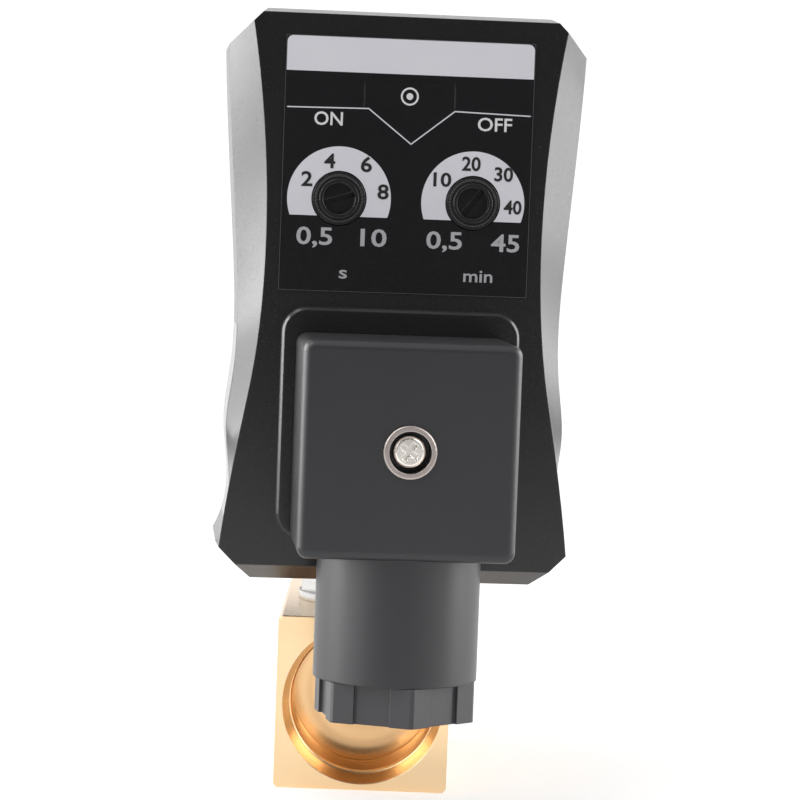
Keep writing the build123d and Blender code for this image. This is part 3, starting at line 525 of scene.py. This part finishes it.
# ---------------------------------------------------------------- front film
# Black polyester film glued into a shallow field, screen printed from the front in light
# grey and white: a bare band on top, a line that dips over the push mark, one scale round
# each dial, and the switch states.
polyester = moulded("black polyester film, gloss", "#18181a", "#1d1d1f", 0.16, 0.5, 0.002,
                    edge_mm=0.05, spread=0.03)
dress("label_film", polyester)
dress("test_key", polyester)


def ink(name, shade, pale):
    """Screen-printed ink, also the painted highlight along the film's edge: even, slightly
    satin, with the faint mottle of the screen.
    """
    return moulded(name, shade, pale, 0.38, 0.12, 0.002, edge_mm=0.02)


grey_ink = ink("light grey screen ink", "#d5d5dc", "#dedee4")
white_ink = ink("white screen ink", "#d8d8da", "#e0e0e1")
black_ink = ink("black screen ink", "#161617", "#1c1c1d")
pale_ink = ink("dull white screen ink", "#a9a9ad", "#b6b6ba")

film = head_points("label_film")
film_low, film_high = film.min(axis=0), film.max(axis=0)
film_y = film_low[1]
film_half, film_bottom, film_top = film_high[0] / MM, film_low[2] / MM, film_high[2] / MM
ink_up = np.array([0.0, -0.04 * MM, 0.0])       # height of one coat over the film
ink_down = np.array([0.0, 0.05 * MM, 0.0])      # thickness of a coat, which sinks in a little


def printed(name, across, up, material, body="head"):
    """Flat print on the film, also the painted edge highlight, from grids of x and z in
    millimetres.
    """
    face = np.stack([across * MM, np.full(np.shape(across), film_y), up * MM], axis=-1)
    mesh = outward(slab_mesh(name, face + ink_up, ink_down))
    place(name, mesh, material, body)


def strip(points, width):
    """Grids of x and z of a line through points, width wide and mitred at its corners.

    At a corner the side step is width / 2 divided by the cosine of half the turn.
    """
    line = np.array(points, dtype=float)
    step = np.diff(line, axis=0)
    step /= np.linalg.norm(step, axis=1)[:, None]
    along = np.concatenate([step[:1], step[:-1] + step[1:], step[-1:]])
    along /= np.linalg.norm(along, axis=1)[:, None]
    stretch = 1 / np.sum(along * np.concatenate([step[:1], step]), axis=1)
    side = np.stack([-along[:, 1], along[:, 0]], axis=1) * (stretch * width / 2)[:, None]
    return (np.stack([line[:, 0] - side[:, 0], line[:, 0] + side[:, 0]], axis=1),
            np.stack([line[:, 1] - side[:, 1], line[:, 1] + side[:, 1]], axis=1))


# band across the top, its upper corners rounded
band_bottom, band_corner = 100.2, 0.8
band_half = film_half - 0.12
band_x = band_half * np.sin(np.linspace(-np.pi / 2, np.pi / 2, 61))
inset = np.clip(np.abs(band_x) - (band_half - band_corner), 0, band_corner)
band_top = film_top - 0.1 - (band_corner - np.sqrt(band_corner ** 2 - inset ** 2))
printed("top_band", np.stack([band_x, band_x]), np.stack([np.full(61, band_bottom), band_top]),
        grey_ink)
rule_points = [(-16.25, 95.35), (-5.4, 95.5), (0.38, 91.0), (6.1, 95.55), (16.25, 95.3)]
printed("dip_line", *strip(rule_points, 0.16), grey_ink)

# painted highlight: a grey strip round the film where its cut edge catches the light
painted_edge_highlight = ink("painted highlight along the film's cut edge", "#4c4c50", "#57575b")
edge_width, edge_gap = 0.06, 0.1
edge_x = film_half - edge_width / 2
edge_low, edge_high = film_bottom + edge_width / 2, film_top - edge_width / 2
edge_points = [(-edge_x, edge_low), (-edge_x, edge_high), (edge_x, edge_high),
               (edge_x, edge_low), (0.0, edge_low), (edge_gap - edge_x, edge_low)]
printed("film_edge_highlight", *strip(edge_points, edge_width), painted_edge_highlight)

# scale of one dial: a ring cut off flat below the dial's centre
ring_inner, ring_outer, ring_cut = 3.68, 6.91, 2.35
for name, knob in (("on_time_scale", "on_time_knob"), ("off_time_scale", "off_time_knob")):
    knob_points = head_points(knob)
    centre = (knob_points.min(axis=0) + knob_points.max(axis=0)) / 2 / MM
    reach = np.linspace(ring_inner, ring_outer, 9)[:, None]
    below = np.arcsin(ring_cut / reach)
    angle = -below + (np.pi + 2 * below) * np.linspace(0, 1, 73)
    printed(name, centre[0] + reach * np.cos(angle), centre[2] + reach * np.sin(angle),
            grey_ink)

letter_size = 10.0
cap_height = 6.9       # of the nought at that letter size
half_depth = 0.5       # of the letters before they are flattened to one coat


def lettering(name, words, material, weight=0.12, coat=1):
    """Printed words: each entry is a word, its cap height and width, and its middle.

    The cap height is the height of a nought, so a comma may hang below it.
    """
    points, faces = [], []
    for text, height, width, x, z in words:
        curve = bpy.data.curves.new(name, "FONT")
        curve.body = text
        curve.size = letter_size
        curve.offset = weight
        curve.extrude = half_depth
        curve.resolution_u = 3
        holder = bpy.data.objects.new(name, curve)
        scene.collection.objects.link(holder)
        bpy.context.view_layer.update()
        shape = bpy.data.meshes.new_from_object(holder)
        flat = np.empty(3 * len(shape.vertices))
        shape.vertices.foreach_get("co", flat)
        flat = flat.reshape(-1, 3)
        low, high = flat.min(axis=0), flat.max(axis=0)
        size = height / (cap_height + 2 * weight) * MM
        spread = width / (high[0] - low[0]) * MM
        spot = np.stack([(flat[:, 0] - (low[0] + high[0]) / 2) * spread + x * MM,
                         film_y + coat * ink_up[1] + (half_depth - flat[:, 2]) * ink_down[1],
                         (flat[:, 1] - cap_height / 2) * size + z * MM], axis=-1)
        start = sum(len(block) for block in points)
        points.append(turn_by(spot, head_angle))
        faces += [[start + vertex for vertex in face.vertices] for face in shape.polygons]
        bpy.data.objects.remove(holder)
        bpy.data.meshes.remove(shape)
    mesh = bpy.data.meshes.new(name)
    mesh.from_pydata(np.concatenate(points).tolist(), [], faces)
    piece = place(name, outward(mesh), material, "head")


lettering("switch_states", [("ON", 1.8, 3.8, -10.7, 94.0), ("OFF", 1.8, 4.6, 11.5, 94.0)],
          white_ink)
lettering("scale_figures", [("2", 2.0, 1.5, -13.3, 85.93), ("4", 1.95, 1.5, -10.35, 88.4),
          ("6", 2.05, 1.5, -5.45, 88.1), ("8", 2.0, 1.5, -3.1, 84.55),
          ("10", 1.9, 2.4, 4.75, 86.47), ("20", 1.9, 2.5, 8.55, 88.7),
          ("30", 1.9, 2.5, 12.95, 87.45), ("40", 1.85, 2.4, 14.3, 83.11)], black_ink,
          weight=0.22, coat=2)
lettering("end_figures", [("0,5", 2.35, 4.8, -12.05, 78.4), ("10", 2.35, 3.5, -4.15, 78.4),
          ("0,5", 2.35, 4.8, 5.3, 78.4), ("45", 2.35, 3.8, 13.5, 78.3)], pale_ink, weight=0.16)
lettering("unit_words", [("s", 1.7, 1.1, -8.06, 73.7), ("min", 1.7, 3.9, 10.0, 73.8)],
          pale_ink)

# push mark on the key: a ring with a dot
key = head_points("test_key")
key_centre = (key.min(axis=0) + key.max(axis=0)) / 2 / MM
round_angle = np.linspace(0, 2 * np.pi, 49)
for name, low, high in (("push_mark_ring", 0.95, 1.2), ("push_mark_dot", 0.01, 0.45)):
    reach = np.array([low, high])[:, None]
    printed(name, key_centre[0] + reach * np.cos(round_angle),
            key_centre[2] + reach * np.sin(round_angle), white_ink, body="test_key")


# ---------------------------------------------------------------- time knobs
# Two glossy black acetal knobs, turned with a screwdriver, over blue trimmers. Each has a
# serrated band on the step round its rim, moulded in one with it.
acetal = moulded("black acetal, polished mould", "#1c1c1d", "#242425", 0.2, 0.3, 0.002,
                 edge_mm=0.14, spread=0.04)
dress("on_time_knob", acetal)
dress("off_time_knob", acetal)

teeth, points_per_tooth = 44, 6
band_r, band_half_width, band_height, band_sink = 3.05, 0.2, 0.13, 0.05
near_rim, step_reach = 3.3 * MM, 1.0 * MM      # where the step round the rim is found
for name, knob in (("on_time_grip", "on_time_knob"), ("off_time_grip", "off_time_knob")):
    knob_points = head_points(knob)
    centre = (knob_points.min(axis=0) + knob_points.max(axis=0)) / 2
    front = knob_points[:, 1].min()
    off_axis = np.hypot(knob_points[:, 0] - centre[0], knob_points[:, 2] - centre[2])
    on_step = (off_axis > near_rim) & (knob_points[:, 1] < front + step_reach)
    step_y = knob_points[on_step, 1].min()
    angle = np.linspace(0, 2 * np.pi, teeth * points_per_tooth + 1)[:-1]
    tooth = 0.55 + 0.45 * np.cos(teeth * angle)
    section = np.linspace(0, 2 * np.pi, 13)[:, None]
    reach = band_r + band_half_width * np.cos(section) * np.ones_like(angle)
    rise = np.maximum(np.sin(section), 0) * tooth * band_height
    rise = rise - np.maximum(-np.sin(section), 0) * band_sink
    points = np.stack([centre[0] + reach * MM * np.cos(angle), step_y - rise * MM,
                       centre[2] + reach * MM * np.sin(angle)], axis=-1)
    mesh = outward(grid_mesh(name, turn_by(points, head_angle), closed=True))
    place(name, mesh, acetal, knob, smooth=True)


# ---------------------------------------------------------------- electronics
# Glass-fibre board under green solder resist, with a relay, a capacitor, a timing
# circuit, two trimmers and a small push switch in moulded cases.
resist = moulded("green solder resist on glass fibre", "#14512a", "#1d6636", 0.28, 0.35, 0.02)
blue_case = moulded("blue trimmer case, moulded", "#24508a", "#2d5d9b", 0.4, 0.2, 0.01)
epoxy = moulded("black epoxy case, moulded", "#1a1a1b", "#232324", 0.45, 0.12, 0.02)
dress("circuit_board", resist)
dress("on_time_trimmer", blue_case)
dress("off_time_trimmer", blue_case)
for node in ("key_switch", "timer_capacitor", "timer_relay", "timer_chip"):
    dress(node, epoxy)


# ---------------------------------------------------------------- cable plug
# Square hood of glass-filled polyamide, charcoal with a fine grain and softly rounded
# edges; the ring and the screw in it are nickel-plated brass and steel.
polyamide = moulded("charcoal polyamide, matt grain", "#2a2a2d", "#303033", 0.36, 0.14,
                    0.008, edge_mm=0.25)
for node in ("plug_housing", "contact_carrier"):
    dress(node, polyamide)
nickel = turned_metal("nickel plate, satin", "#aaa09c", "#b8aeaa", 0.26, 0.6, spread=0.03)
bright_steel = turned_metal("steel screw, bright nickel", "#eae4de", "#f6f1ea", 0.2, 0.5,
                            spread=0.05)
dress("screw_ring", nickel)
dress("centre_screw", bright_steel)

# The gland's compression nut is a second, slightly paler polyamide moulding.
nut_polyamide = moulded("grey-black polyamide nut", "#3a383b", "#424043", 0.42, 0.16, 0.012)
dress("gland_nut", nut_polyamide)
dress("gland_washer", nut_polyamide)
